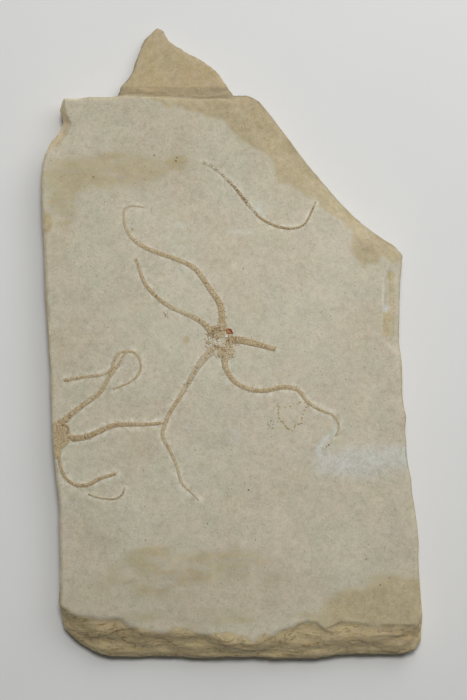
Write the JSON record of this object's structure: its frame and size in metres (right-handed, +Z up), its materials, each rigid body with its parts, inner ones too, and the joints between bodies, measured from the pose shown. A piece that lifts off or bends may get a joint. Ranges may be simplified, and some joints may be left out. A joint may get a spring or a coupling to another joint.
{
  "type": "brittle star fossil",
  "caption": "Brittle stars in low relief on a thin split limestone slab: a round disc with long winding arms, a second star at the edge and a loose arm.",
  "frame": {"origin": "middle of the slab's footprint, on the underside that it lies on", "axes": "+Z up, out of the fossil face; +Y towards the thin tongue at the slab's head; +X to the right as the fossils are read"},
  "size_m": [0.1278, 0.2132, 0.0146],
  "materials": {
    "limestone": "matte",
    "fossil_calcite": "matte",
    "iron_oxide": "matte"
  },
  "bodies": {
    "root": {"slab": "limestone", "star_disc": "fossil_calcite", "star_arm_long": "fossil_calcite", "star_arm_bent": "fossil_calcite", "star_arm_stub": "fossil_calcite", "star_arm_right": "fossil_calcite", "star_arm_down": "fossil_calcite", "edge_star_disc": "fossil_calcite", "edge_star_arm_looped": "fossil_calcite", "edge_star_arm_middle": "fossil_calcite", "edge_star_arm_lower": "fossil_calcite", "edge_star_arm_tip": "fossil_calcite", "loose_arm": "fossil_calcite", "rust_grain": "iron_oxide"}
  },
  "joints": []
}
